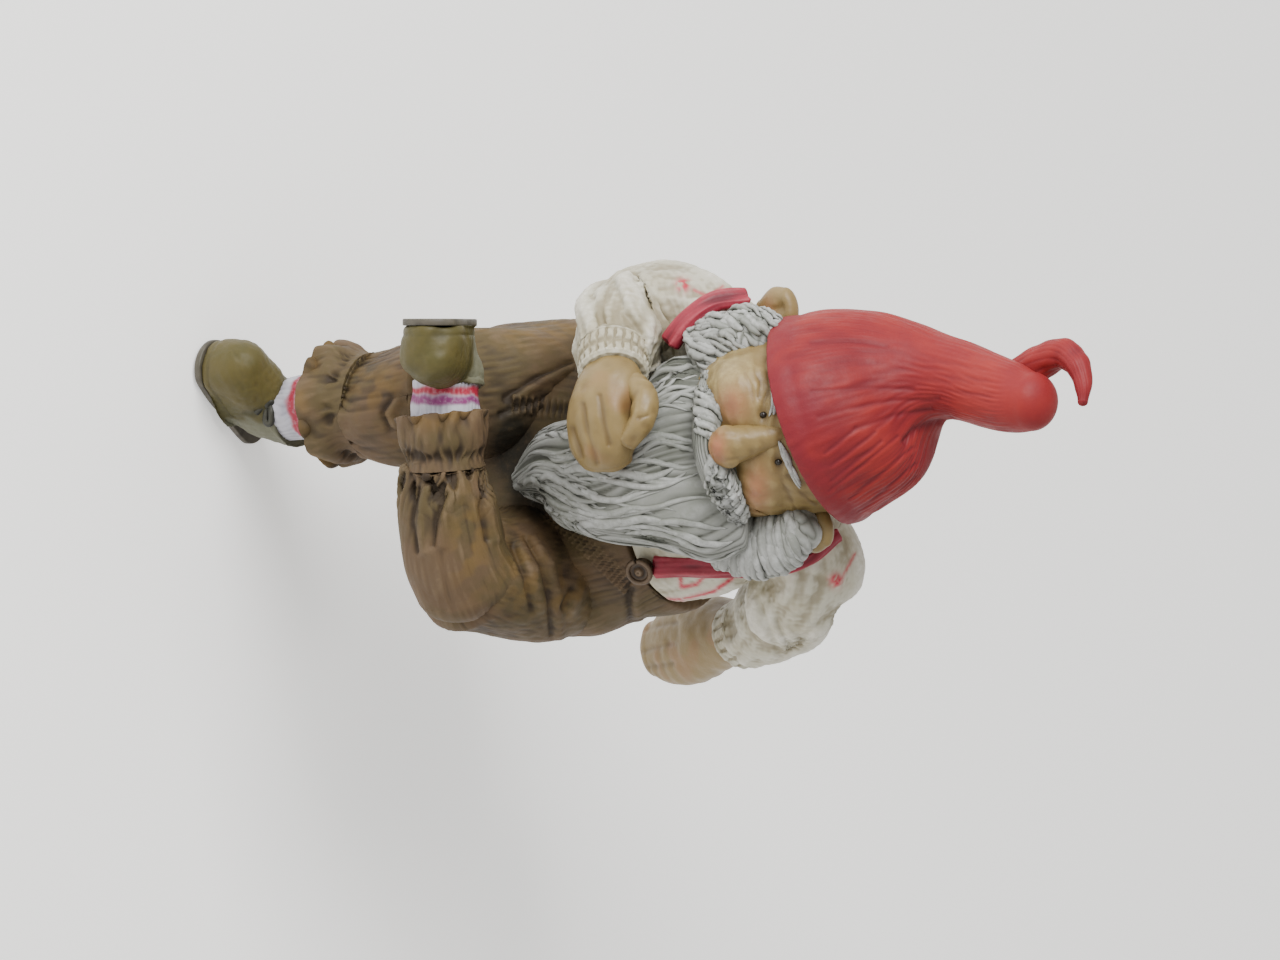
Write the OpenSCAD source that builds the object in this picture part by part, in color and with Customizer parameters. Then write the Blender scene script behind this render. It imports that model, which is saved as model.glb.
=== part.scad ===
// Seated garden-gnome figurine for a shelf edge: cast pieces of a cap, head, beard, clothes, hands and boots.
// Millimetres, +Z up, the figure faces -Y, and its own left is +X.
// The origin is the middle of the flat seat underside, which rests on the shelf. The shins hang in front of the edge.

/* [Head] */
// Half width of the head at the ears
head_r = 16.5; // [15:0.1:17]
// Radius of the cap at its rolled brim
brim_r = 17.8; // [17:0.1:19]
// Radius of the curled cap tip at its root
tip_r = 2.9; // [2:0.1:3.5]
// Half width of the nose at the nostrils
nose_r = 3.4; // [2.5:0.1:4.5]
// Half width of the beard below the chin
beard_r = 16; // [13:0.5:17]

/* [Body] */
// Half width of the breeches at the hips
seat_r = 25; // [23:0.5:26]
// Half width of the shirt at the chest
chest_r = 20.5; // [18:0.5:22]
// Radius of the sleeves at the shoulder
sleeve_r = 8.2; // [7.6:0.1:8.8]
// Radius of the ribbed cuffs
cuff_r = 5.4; // [5:0.1:6]

/* [Legs] */
// Radius of the breeches at the hip joint
thigh_r = 12; // [11:0.5:12.5]
// Radius of the breeches at the knee
knee_r = 9.5; // [9:0.1:10]
// Radius of the sock at the ankle
sock_r = 5.2; // [4.5:0.1:5.5]
// Half width of the boots
boot_r = 4.9; // [4.5:0.1:5.2]
// Depth of the hanging boot's sole below the seat
leg_drop = 32; // [31.5:0.5:35]

/* [Hidden] */

sides = 18;         // sides of every swept form
steps = 2;          // rings between two stations
seat_top = 34;      // where the shirt comes out of the breeches
head_roll = 14;     // the head leans to the figure's right
leg_x = -10.5;      // axis of the hanging leg
leg_y = -26;
ankle_x = -9.9;     // axis of its sock, over the boot's opening
ankle_y = -25.6;
boot_turn = 41;     // the hanging foot turns outwards
sole_t = 2.2;       // thickness of a boot sole
foot = 11.6;        // from a boot's heel centre to its toe centre
shaft_h = 8.2;      // top of a boot above its sole
sole_x = -24;       // sole face of the crossed boot
boot_top_x = sole_x + sole_t + shaft_h;

red = [0.78, 0.20, 0.17];
skin = [0.85, 0.72, 0.55];
hair = [0.86, 0.86, 0.88];
linen = [0.88, 0.85, 0.78];
brown = [0.48, 0.36, 0.22];
green = [0.38, 0.40, 0.24];

// A station is [x, y, z, half width, half depth]. Rings between stations follow a Catmull-Rom curve.
function curve(a, b, c, d, t) =
    0.5 * (2 * b + (c - a) * t + (2 * a - 5 * b + 4 * c - d) * t * t + (3 * b - a - 3 * c + d) * t * t * t);
function rings(s) = let (last = len(s) - 1)
    [for (i = [0:last - 1]) for (j = [0:steps - 1])
        curve(s[max(i - 1, 0)], s[i], s[i + 1], s[min(i + 2, last)], j / steps), s[last]];
function place(r) = [r[0], r[1], r[2]];
function unit(v) = v / norm(v);
function heading(r, i) = unit(place(r[min(i + 1, len(r) - 1)]) - place(r[max(i - 1, 0)]));
function ring(p, t, ref, a, b) =
    let (s = unit(cross(ref, t)), w = cross(t, s))
    [for (k = [0:sides - 1]) p + s * a * cos(360 * k / sides) + w * b * sin(360 * k / sides)];

// Sweeps an ellipse through the stations. Each end is closed by a dome of the given height, or flat at 0.
module sweep(stations, ref = [0, 1, 0], dome = [1, 1]) {
    r = rings(stations);
    n = len(r);
    t0 = heading(r, 0);
    t1 = heading(r, n - 1);
    lead = dome[0] > 0 ? [for (a = [60, 30])
        ring(place(r[0]) - t0 * dome[0] * sin(a), t0, ref, r[0][3] * cos(a), r[0][4] * cos(a))] : [];
    tail = dome[1] > 0 ? [for (a = [30, 60])
        ring(place(r[n - 1]) + t1 * dome[1] * sin(a), t1, ref, r[n - 1][3] * cos(a), r[n - 1][4] * cos(a))] : [];
    body = [for (i = [0:n - 1]) ring(place(r[i]), heading(r, i), ref, r[i][3], r[i][4])];
    all = concat(lead, body, tail);
    m = len(all);
    ends = [place(r[0]) - t0 * dome[0], place(r[n - 1]) + t1 * dome[1]];
    skin_faces = [for (i = [0:m - 2]) for (k = [0:sides - 1]) let (j = (k + 1) % sides)
        [i * sides + k, (i + 1) * sides + k, (i + 1) * sides + j, i * sides + j]];
    end_faces = concat([for (k = [0:sides - 1]) [m * sides, k, (k + 1) % sides]],
        [for (k = [0:sides - 1]) [m * sides + 1, (m - 1) * sides + (k + 1) % sides, (m - 1) * sides + k]]);
    polyhedron(concat([for (g = all) each g], ends), concat(skin_faces, end_faces), convexity = 4);
}

// Cuts the later children out of the first one. resize() with zeros keeps the size and makes it one mesh.
module fitted() resize([0, 0, 0]) difference() {
    children(0);
    if ($children > 1) children([1:$children - 1]);
}

// Head and hair
module head_form() sweep([
    [-5, -7, 51, 10, 9], [-6.3, -7, 56, 14, 14], [-7.6, -6, 62, head_r - 0.5, 16],
    [-8.6, -5.4, 67.4, head_r - 0.2, 15.8], [-9.6, -4, 73.4, 13.6, 13], [-10.2, -2.6, 77, 9.6, 9.4]], dome = [3, 3]);
module hat_form() sweep([
    [-7.7, -5.1, 66.4, brim_r, 18.8], [-9, -3.5, 69.4, brim_r - 0.2, 18.6], [-10.3, -2.2, 74, 16.2, 17],
    [-11.2, -0.8, 78, 14.8, 14.2], [-12.8, 0.4, 81.4, 12.4, 11], [-14.1, 1.2, 84.8, 9, 8.4],
    [-14.2, 1.6, 88.4, 6.8, 6.8], [-13.6, 1.8, 92.6, 6.1, 6.2], [-12.1, 1.4, 98, 5.8, 5.9], [-11, 1, 103, 5.5, 5.6],
    [-10.8, 1, 106.8, 4.7, 4.8]], dome = [0, 3.8]);
module hat() color(red) fitted() { hat_form(); head_form(); }
module hat_tip() color(red) fitted() {
    sweep([[-12.8, 2.8, 99.6, tip_r, tip_r], [-16.2, 5, 103.8, 2.7, 2.7], [-18.4, 6, 108.6, 2.4, 2.4],
           [-17, 5.4, 112.2, 2, 2], [-13.8, 4.4, 114.4, 1.4, 1.4], [-10.8, 3.4, 115.2, 0.8, 0.8]], dome = [1, 0.6]);
    hat_form();
}
module head() color(skin) head_form();
module nose_form() sweep([[-6.6, -19, 73.4, 1.4, 2], [-5, -22, 68.8, 2, 2.6], [-3.8, -23.8, 65.6, nose_r, 3],
    [-3.3, -23.6, 63.8, 2.6, 2.4]], dome = [1, 1.2]);
module nose() color(skin) fitted() { nose_form(); head_form(); }
module ear_form(p) translate(p) rotate([0, -head_roll, 0]) sweep([[0, 0, -2.4, 2.2, 1.2], [0, 0, 0, 3.4, 1.9], [0, 0, 2, 3, 1.5]]);
module right_ear_form() ear_form([-25.8, -4.3, 60.1]);
module left_ear_form() ear_form([9.4, -6.4, 68.8]);
module right_ear() color(skin) fitted() { right_ear_form(); head_form(); hat_form(); }
module left_ear() color(skin) fitted() { left_ear_form(); head_form(); hat_form(); }
module eyes() color([0.1, 0.08, 0.07]) fitted() {
    for (p = [[-9.2, -20.4, 69.4], [-1.4, -20, 71.4]]) translate(p) sphere(0.9, $fn = 14);
    head_form();
}
module eyebrows() color(hair) fitted() {
    for (s = [[[-15, -18.4, 70.6], [-11, -20.2, 72.4], [-8, -20.8, 72.6]], [[-3.6, -20.8, 73.6], [-0.4, -20, 74.4], [3, -17.2, 75]]])
        sweep([for (p = s) [p[0], p[1], p[2], 0.8, 0.8]], ref = [0, 0, 1], dome = [0.6, 0.6]);
    head_form();
    hat_form();
}
module moustache_form() sweep([[-14, -18, 57.5, 1.6, 1.4], [-9, -21.8, 60, 2.6, 2.6], [-3.6, -23.2, 61.2, 2.8, 2.2],
    [1.6, -21.4, 62.6, 2.6, 2.6], [7, -16.4, 61.8, 1.6, 1.4]], ref = [0, 0, 1]);
module moustache() color(hair) fitted() { moustache_form(); head_form(); nose_form(); }
module right_whiskers_form() sweep([[-21, -9.6, 65.6, 3, 2.4], [-21.4, -11.5, 62, 4.6, 3.4], [-20.2, -13, 58, 5.6, 3.6],
    [-17, -14, 54, 6.5, 4]], dome = [1.5, 2]);
module left_whiskers_form() sweep([[9, -10, 70, 3, 2.4], [11.2, -10, 65.4, 4.8, 3.4], [11.8, -10, 60.6, 5.2, 3.6],
    [10, -10.6, 55.6, 6, 4]], dome = [1.5, 2]);
module beard_form() sweep([
    [-2.8, -14.4, 57.6, beard_r, 6.4], [-1.6, -17, 52.6, beard_r + 0.8, 7.4], [-0.2, -19, 46.8, 13, 6.6],
    [0.8, -20, 40, 10.6, 5.6], [0.4, -20, 32.8, 8.4, 4.8], [-0.2, -19.6, 26.4, 6.2, 3.8], [1.8, -19, 20.2, 2.2, 1.8]],
    dome = [2, 1]);
module right_whiskers() color(hair) fitted() { right_whiskers_form(); head_form(); hat_form(); beard_form(); right_ear_form(); }
module left_whiskers() color(hair) fitted() { left_whiskers_form(); head_form(); hat_form(); beard_form(); left_ear_form(); }
module beard() color(hair) fitted() {
    beard_form(); head_form(); moustache_form(); nose_form(); shirt_form(); seat_form();
    right_hand_form(); right_thumb_form(); right_cuff_form();
}

// Shirt, sleeves, cuffs and hands
module shirt_form() sweep([
    [0.6, 2.4, seat_top, 20.8, 15.4], [0, 2.8, 38.5, chest_r + 0.4, 15.2], [-1.6, 3, 44, chest_r, 14.5], [-3, 3, 50, chest_r - 1, 13],
    [-4.4, 3, 55, 15, 11], [-5.6, 1, 60, 9.5, 9]], ref = [0.3, 1, 0], dome = [0, 2]);
module shirt() color(linen) fitted() { shirt_form(); head_form(); }
module right_sleeve_form() sweep([[-16, -1, 51, sleeve_r - 1, 7.6], [-20.8, -4, 48, sleeve_r, 8], [-24.6, -7.6, 41.4, sleeve_r + 0.2, 8.2],
    [-23.8, -12, 37, 8.2, 8], [-21, -18.4, 38.8, 7.2, 7], [-18, -22.8, 41.4, 5.8, 5.8]], ref = [1, 0, 0], dome = [2, 0]);
module left_sleeve_form() sweep([[10, 7, 55.4, sleeve_r - 1, 7.6], [15.4, 10.4, 55, sleeve_r - 0.4, 8], [20.2, 15.6, 48, 7.2, 7.4],
    [23.8, 20.6, 40, 6.6, 6.8], [25.5, 24, 33.4, 5.8, 5.8]], ref = [0, 1, 0.2], dome = [2, 0]);
module right_cuff_form() sweep([[-18.2, -22.5, 41.2, cuff_r, cuff_r], [-15.2, -25, 43.2, cuff_r, cuff_r]], ref = [0, 0, 1], dome = [0, 0]);
module left_cuff_form() sweep([[25.4, 23.8, 33.8, cuff_r, cuff_r], [26.3, 26, 29.6, cuff_r, cuff_r]], ref = [0, 1, 0.2], dome = [0, 0]);
module right_hand_form() sweep([[-15.2, -25, 43.2, 4.2, 4.4], [-13, -26.8, 44, 4.8, 5.6], [-8.6, -28.6, 44.4, 5, 6.4],
    [-4, -28.6, 44, 4.4, 5.8], [-1.6, -27.6, 43.6, 3.2, 4.4]], ref = [0, 0, 1], dome = [0, 1.6]);
module right_thumb_form() sweep([[-14, -26.4, 47, 2.2, 2.4], [-11.5, -27.6, 52.4, 2, 2.2], [-7.6, -29, 52.6, 1.9, 2.1],
    [-4.4, -29.6, 50.4, 1.6, 1.7]], ref = [0, 1, 0]);
module left_hand_form() sweep([[26, 26, 29.6, 4.8, 4.2], [26.2, 28.8, 22.6, 6, 4.2], [27.4, 32.2, 15, 6.8, 4.2],
    [28.3, 34.8, 8.6, 6.2, 3.6], [28.7, 36, 4.2, 4.8, 2.4]], ref = [0, 1, 0], dome = [0, 3]);
module right_sleeve() color(linen) fitted() { right_sleeve_form(); shirt_form(); seat_form(); head_form(); right_cuff_form(); }
module left_sleeve() color(linen) fitted() { left_sleeve_form(); shirt_form(); left_cuff_form(); }
module right_cuff() color(linen) right_cuff_form();
module left_cuff() color(linen) left_cuff_form();
module right_hand() color(skin) right_hand_form();
module right_thumb() color(skin) fitted() { right_thumb_form(); right_hand_form(); }
module left_hand() color(skin) left_hand_form();

// Breeches with braces
module seat_form() sweep([
    [1, 4, -1, 19, 14.6], [1, 4, 3, 23, 18], [1, 3, 10, seat_r, 19.4], [1, 2.4, 17, seat_r + 0.4, 19],
    [1, 2, 24, seat_r - 1, 18], [1, 2, 30, 22.4, 17], [0.6, 2, seat_top, 21, 16]], dome = [0, 0]);
module brace(points, hold) color(red) fitted() {
    sweep([for (p = points) [p[0], p[1], p[2], 1.9, 1.2]], ref = hold, dome = [0.4, 0.4]);
    shirt_form(); right_sleeve_form(); left_sleeve_form(); seat_form(); beard_form();
    right_whiskers_form(); left_whiskers_form(); head_form();
}
module right_brace() brace([[-27, -7, 55.4], [-26.4, -11.4, 52.6], [-23.6, -14.6, 50], [-20.4, -15.6, 47.6]], [0.6, 1, -0.2]);
module left_brace() brace([[10.4, 6.6, 63], [13.4, 2.2, 61.4], [15, -2.4, 57], [15.2, -6, 50], [15.2, -8, 44], [15.4, -9.6, 40]], [0, 1, 0.3]);
module brace_button() color(brown) fitted() {
    translate([15.6, -10.8, 37.8]) rotate([75, 0, 25]) cylinder(h = 3, r = 1.7, center = true, $fn = 24);
    shirt_form(); seat_form();
}
module breeches_seat() color(brown) difference() {
    seat_form();
    translate([-50, -50, -20]) cube([100, 100, 20]);    // the flat underside that rests on the shelf
}
module right_thigh_form() sweep([[-13, 2, 13.4, 11, 12], [-13, -6, 12.2, 11.2, thigh_r], [-12.4, -14, 10.4, 10.8, 10.6], [-11.6, -21, 7.4, 10.2, 10]],
    ref = [0, 0, 1], dome = [1, 4.3]);
module right_knee_form() sweep([[-11, -24.4, 5.4, knee_r + 0.4, knee_r], [leg_x, leg_y, 0, knee_r, knee_r - 0.4],
    [leg_x, leg_y, -5.4, 8.2, 8]], dome = [5, 0]);
module left_thigh_form() sweep([[14, 2, 14, thigh_r, thigh_r], [15, -6, 14.6, thigh_r, thigh_r - 0.2], [16.2, -14, 15, 11, 11.2],
    [17, -22, 15.6, 9.8, 10.2], [17, -28, 16, 8.7, 9]], ref = [0, 0, 1], dome = [1, 4]);
module left_shin_form() sweep([[17.4, -28, 16, 8.6, 8.6], [13, -31, 16.2, 8.2, 8.2], [6, -33.8, 16.6, 7.6, 7.7], [-0.6, -35, 17, 6.4, 6.4]],
    ref = [0, 0, 1], dome = [5, 0]);
module right_thigh() color(brown) fitted() { right_thigh_form(); seat_form(); }
module right_knee() color(brown) fitted() { right_knee_form(); right_thigh_form(); }
module left_thigh() color(brown) fitted() { left_thigh_form(); seat_form(); right_thigh_form(); }
module left_shin() color(brown) fitted() { left_shin_form(); left_thigh_form(); right_thigh_form(); right_knee_form(); }
module right_frill_form() sweep([[leg_x, leg_y, -5.4, 8.2, 8], [leg_x, leg_y, -8.6, 9.4, 9.2], [leg_x, leg_y, -12.6, 10.2, 10]], dome = [0, 0]);
module left_frill_form() sweep([[-0.6, -35, 17, 6.4, 6.4], [-4.4, -35.4, 17, 7.2, 7.4], [-9, -35.7, 16.7, 7, 7.4]], ref = [0, 0, 1], dome = [0, 0]);
module right_frill() color(brown) fitted() { right_frill_form(); right_sock_form(); }
module left_frill() color(brown) fitted() { left_frill_form(); left_sock_form(); }

// Socks and boots
module right_sock_form() sweep([[ankle_x, ankle_y, -9, sock_r, sock_r], [ankle_x, ankle_y, -14, sock_r, sock_r],
    [ankle_x, ankle_y, sole_t + shaft_h - leg_drop, 4.5, 4.5]], dome = [0, 0]);
module left_sock_form() sweep([[-5.2, -35, 17.1, sock_r, sock_r], [-9.4, -35, 17.1, sock_r, sock_r], [boot_top_x, -35, 17.1, 4.7, 4.7]],
    ref = [0, 0, 1], dome = [0, 0]);
module right_sock() color(linen) right_sock_form();
module left_sock() color(linen) left_sock_form();

// A boot along -Y with its heel at the origin and its sole's top at z = 0, run from the toe back and up to the ankle.
module boot_form() sweep([[0, -foot, 4.1, 4.1, boot_r], [0, -foot * 0.6, 4.5, 4.5, boot_r - 0.2], [0, -foot * 0.24, 4.9, 4.9, boot_r - 0.3],
    [0, -1.4, 6.6, 4.9, boot_r], [0, -1.4, shaft_h, boot_r + 0.3, boot_r + 0.3]], ref = [1, 0, 0], dome = [4.8, 0]);
module sole_form() hull() {
    for (p = [[0, boot_r - 0.7], [-foot, boot_r + 0.1]])
        translate([0, p[0], -sole_t]) cylinder(h = sole_t, r = p[1], $fn = 28);
}
module in_right_boot() translate([-8.4, -24.2, sole_t - leg_drop]) rotate([0, 0, -boot_turn]) children();
module in_left_boot() translate([sole_x + sole_t, -33.2, 16.8]) rotate([-23, 0, 0]) rotate([0, 90, 0]) children();
module right_boot() color(green) fitted() in_right_boot() boot_form();
module left_boot() color(green) fitted() in_left_boot() boot_form();
module right_boot_sole() color([0.25, 0.22, 0.12]) in_right_boot() sole_form();
module left_boot_sole() color([0.25, 0.22, 0.12]) in_left_boot() sole_form();
module boot_lace() color([0.18, 0.15, 0.1]) fitted() {
    in_right_boot() sweep([[0.1, -6.8, 7.1, 0.7, 0.7], [1.3, -6.6, 7.8, 0.9, 0.9], [2.6, -6.2, 7.2, 0.8, 0.8],
        [3.8, -5.5, 7.8, 0.9, 0.9], [4.8, -4.5, 7.1, 0.7, 0.7]], ref = [0, 0, 1], dome = [0.5, 0.5]);
    in_right_boot() boot_form();
}

hat();
hat_tip();
head();
nose();
right_ear();
left_ear();
eyes();
eyebrows();
moustache();
right_whiskers();
left_whiskers();
beard();
shirt();
right_sleeve();
left_sleeve();
right_cuff();
left_cuff();
right_hand();
right_thumb();
left_hand();
right_brace();
left_brace();
brace_button();
breeches_seat();
right_thigh();
right_knee();
left_thigh();
left_shin();
right_frill();
left_frill();
right_sock();
left_sock();
right_boot();
left_boot();
right_boot_sole();
left_boot_sole();
boot_lace();
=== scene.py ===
import math
import bpy
import numpy as np
from mathutils import Matrix


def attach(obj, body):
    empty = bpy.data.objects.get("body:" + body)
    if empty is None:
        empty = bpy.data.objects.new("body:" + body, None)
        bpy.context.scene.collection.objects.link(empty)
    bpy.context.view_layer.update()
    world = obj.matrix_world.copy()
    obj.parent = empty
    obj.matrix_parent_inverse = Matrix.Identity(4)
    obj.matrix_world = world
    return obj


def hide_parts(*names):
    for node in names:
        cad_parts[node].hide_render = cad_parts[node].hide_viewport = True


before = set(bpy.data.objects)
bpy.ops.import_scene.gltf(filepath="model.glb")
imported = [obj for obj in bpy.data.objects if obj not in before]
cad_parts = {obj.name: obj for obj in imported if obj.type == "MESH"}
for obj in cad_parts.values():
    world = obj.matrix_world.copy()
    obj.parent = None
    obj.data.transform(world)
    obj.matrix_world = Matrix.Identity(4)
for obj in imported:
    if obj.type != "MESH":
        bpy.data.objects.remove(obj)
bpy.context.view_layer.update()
print("frame loaded")

# Lengths below are millimetres and meshes are written in metres. The figure faces -Y and +Z is up.
# Painted details are laid out on the plane seen from 38 degrees above the front: x to the right and h up
# that plane.
mm = 0.001
tilt = math.radians(38)
towardEye = np.array([0, -math.cos(tilt), math.sin(tilt)])
upPlane = np.array([0, math.sin(tilt), math.cos(tilt)])
turn = 2 * math.pi


def unit(v):
    # Each vector divided by its length.
    return v / np.maximum(np.linalg.norm(v, axis=-1, keepdims=True), 1e-9)


def smooth(a, b, t):
    # 0 below a, 1 above b and an S between them: 3s^2 - 2s^3.
    s = np.clip((t - a) / (b - a), 0, 1)
    return s * s * (3 - 2 * s)


def wobble(points, size, seed, waves=12):
    # Sum of sines in random directions with wavelengths near size. Its mean is 0 and its spread about 1.
    random = np.random.default_rng(seed)
    ways = unit(random.normal(size=(waves, 3)))
    rates = turn / (size * random.uniform(0.7, 1.6, waves))
    shifts = random.uniform(0, turn, waves)
    total = np.zeros(points.shape[:-1])
    for way, rate, shift in zip(ways, rates, shifts):
        total += np.sin(points @ way * rate + shift)
    return total / math.sqrt(waves / 2)


def crease(points, size, seed):
    # Rounded swellings that meet in sharp valleys: the root of the absolute wobble, from 0 in a valley to
    # about 1.
    return np.minimum(np.abs(wobble(points, size, seed)), 1.6) ** 0.6


def curve(knots, count):
    # Catmull-Rom curve through the knots, read at equal steps of its arc length.
    k = np.array(knots, float)
    k = np.vstack([k[:1], k, k[-1:]])
    fine = np.linspace(0, len(k) - 3, 40 * (len(k) - 3) + 1)
    i = np.minimum(fine.astype(int), len(k) - 4)
    t = (fine - i)[:, None]
    a, b, c, d = (k[i + n] for n in range(4))
    squared, cubed = 2 * a - 5 * b + 4 * c - d, 3 * b - a - 3 * c + d
    line = 0.5 * (2 * b + (c - a) * t + squared * t ** 2 + cubed * t ** 3)
    steps = np.r_[0, np.cumsum(np.linalg.norm(np.diff(line[:, :3], axis=0), axis=1))]
    want = np.linspace(0, steps[-1], count)
    return np.stack([np.interp(want, steps, column) for column in line.T], 1), steps[-1]


def normals(pos, first, last):
    # Cross product of the steps round and along the grid. The two poles take the given directions.
    roundStep = np.roll(pos, -1, 1) - np.roll(pos, 1, 1)
    alongStep = np.gradient(pos, axis=0)
    n = unit(np.cross(roundStep, alongStep))
    n[0] = first
    n[-1] = last
    return n


def sweep(stations, ref=(0, 1, 0), dome=(1, 1), size=(200, 140), edge=14, calm=1):
    # Ellipse of half width w and half depth d carried along the curve through stations [x, y, z, w, d].
    # Each end closes over a quarter-ellipse dome of its own height, which is a flat disc at 0.
    # The heading is a running mean over calm rows, so that wide sections do not fold over each other.
    around, along = size
    line, length = curve(stations, along)
    heading = np.pad(np.gradient(line[:, :3], axis=0), ((calm // 2, calm - 1 - calm // 2), (0, 0)), "edge")
    heading = unit(np.stack([np.convolve(h, np.ones(calm) / calm, "valid") for h in heading.T], 1))
    lift = np.linspace(math.pi / 2, 0, edge, endpoint=False)
    rows = np.r_[np.zeros(edge, int), np.arange(along), np.full(edge, along - 1)]
    rise = np.r_[-dome[0] * np.sin(lift), np.zeros(along), dome[1] * np.sin(lift[::-1])]
    shrink = np.r_[np.cos(lift), np.ones(along), np.cos(lift[::-1])]
    way = heading[rows]
    side = unit(np.cross(np.array(ref, float), way))
    up = np.cross(way, side)
    theta = np.arange(around) / around * turn
    centre = line[rows, :3] + way * rise[:, None]
    reach = (line[rows, 3:5] * shrink[:, None])[:, None, :]
    pos = centre[:, None, :] + side[:, None, :] * (reach[..., :1] * np.cos(theta)[None, :, None])
    pos = pos + up[:, None, :] * (reach[..., 1:] * np.sin(theta)[None, :, None])
    v = np.r_[np.zeros(edge), np.linspace(0, 1, along), np.ones(edge)] + rise / length
    radius = float(line[:, 3:5].mean())
    v2 = np.repeat(v[:, None], around, 1)
    t2 = np.repeat(theta[None, :], len(rows), 0)
    flat = np.stack([radius * np.cos(t2), radius * np.sin(t2), v2 * length], -1)
    return {"pos": pos, "ends": (-heading[0], heading[-1]), "v": v2, "theta": t2, "flat": flat,
            "length": length,
            "edge": edge, "along": along, **{layer: np.zeros(t2.shape) for layer in ("relief", "one", "two")}}


def carve(grid, depth, step=0.2):
    # Moves every point along its normal by depth. One step of depth is one full step of the painted relief.
    depth = np.broadcast_to(depth, grid["v"].shape).copy()
    for pole in (0, -1):
        depth[pole] = depth[pole].mean()
    grid["pos"] = grid["pos"] + normals(grid["pos"], *grid["ends"]) * depth[..., None]
    if step:
        grid["relief"] = grid["relief"] + depth / step
    return grid


def facing(grid):
    # 1 where the surface looks to the front and up, 0 where it turns away.
    return np.clip(normals(grid["pos"], *grid["ends"]) @ towardEye * 3, 0, 1)


def spot(grid, x, h, wide, high):
    # Soft oval on the front: the exponential of minus the squared distance from (x, h).
    away = ((grid["pos"][..., 0] - x) / wide) ** 2 + ((grid["pos"] @ upPlane - h) / high) ** 2
    return np.exp(-away) * facing(grid)


def stroke(grid, points, width):
    # Soft line on the front through the (x, h) points: the exponential of minus the squared distance to its
    # segments.
    x, h = grid["pos"][..., 0], grid["pos"] @ upPlane
    near = np.full(x.shape, 1e9)
    for (x0, h0), (x1, h1) in zip(points, points[1:]):
        dx, dh = x1 - x0, h1 - h0
        t = np.clip(((x - x0) * dx + (h - h0) * dh) / (dx * dx + dh * dh), 0, 1)
        near = np.minimum(near, (x - x0 - t * dx) ** 2 + (h - h0 - t * dh) ** 2)
    return np.exp(-near / width ** 2) * facing(grid)


def trace(grid, theta, v):
    # The surface point and normal at angle theta (in turns) and fraction v along the body, between its four
    # neighbours.
    around = grid["pos"].shape[1]
    n = normals(grid["pos"], *grid["ends"])
    row = grid["edge"] + np.clip(v, 0, 1) * (grid["along"] - 1)
    col = np.mod(theta, 1) * around
    r0, c0 = row.astype(int), col.astype(int)
    r1, c1 = np.minimum(r0 + 1, grid["pos"].shape[0] - 1), (c0 + 1) % around
    fr, fc = (row - r0)[..., None], (col - c0)[..., None]
    c0 = c0 % around

    def read(a):
        here = a[r0, c0] * (1 - fr) + a[r1, c0] * fr
        beside = a[r0, c1] * (1 - fr) + a[r1, c1] * fr
        return here * (1 - fc) + beside * fc

    return read(grid["pos"]), unit(read(n))


def snap(grid, x, h):
    # The front surface point nearest to (x, h), with its normal.
    n = normals(grid["pos"], *grid["ends"])
    away = (grid["pos"][..., 0] - x) ** 2 + (grid["pos"] @ upPlane - h) ** 2 + (n @ towardEye < 0.05) * 1e6
    i = np.unravel_index(np.argmin(away), away.shape)
    return grid["pos"][i], n[i]


def strand(centre, normal, width, height, around=8, tone=0.0):
    # Flattened tube along a line: an ellipse spanned by the normal and the cross product of heading and
    # normal.
    # Its width and height taper to a point at both ends.
    heading = unit(np.gradient(centre, axis=0))
    side = unit(np.cross(heading, normal))
    theta = np.arange(around) / around * turn
    w = (side[:, None, :] * np.cos(theta)[None, :, None]) * width[:, None, None]
    n = (np.cross(side, heading)[:, None, :] * np.sin(theta)[None, :, None]) * height[:, None, None]
    pos = centre[:, None, :] - w + n
    shape = pos.shape[:2]
    relief = np.repeat(np.sin(theta)[None, :], shape[0], 0) * 1.5 - 0.6 + tone
    return {"pos": pos, "ends": (-heading[0], heading[-1]), "relief": relief,
            "one": np.zeros(shape), "two": np.zeros(shape)}


def taper(count, power=0.6):
    # Half a sine raised to a power, which is 0 at both ends.
    return np.maximum(np.sin(np.linspace(0, math.pi, count)), 0) ** power


def locks(base, spec):
    # Hair laid over a surface: each lock starts at a random place and runs along v and theta with a wave of
    # its own.
    random = np.random.default_rng(spec["seed"])
    made = []
    s = np.linspace(0, 1, spec["steps"])
    for n in range(spec["count"]):
        part = (n + random.uniform(0, 1)) / spec["count"]
        (thetaFrom, thetaTo), (vFrom, vTo) = spec["theta"], spec["v"]
        theta0 = thetaFrom + (thetaTo - thetaFrom) * (part if spec["ordered"] == "theta"
                                                      else random.uniform())
        v0 = vFrom + (vTo - vFrom) * (part if spec["ordered"] == "v" else random.uniform())
        reach = random.uniform(0.75, 1.2)
        wave = spec["wave"] * np.sin(turn * (s * 1.1 + 0.6 * v0 + part * spec["drift"]) + random.normal()
                                     * 0.35)
        theta = theta0 + spec["run"][0] * reach * s + wave * spec["waveTheta"]
        v = v0 + spec["run"][1] * reach * s + wave * (1 - spec["waveTheta"]) + spec["sag"] * s * s
        centre, normal = trace(base, theta, v)
        lift = spec["lift"] * random.uniform(0.3, 1.2) * np.sin(math.pi * np.minimum(s * 1.1, 1))
        centre = centre + normal * lift[:, None]
        body = taper(len(s))
        width = spec["width"] * random.uniform(0.6, 1.25) * body
        made.append(strand(centre, normal, width, width * spec["flat"], tone=random.uniform(-0.35, 0.45)))
    return made


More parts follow.
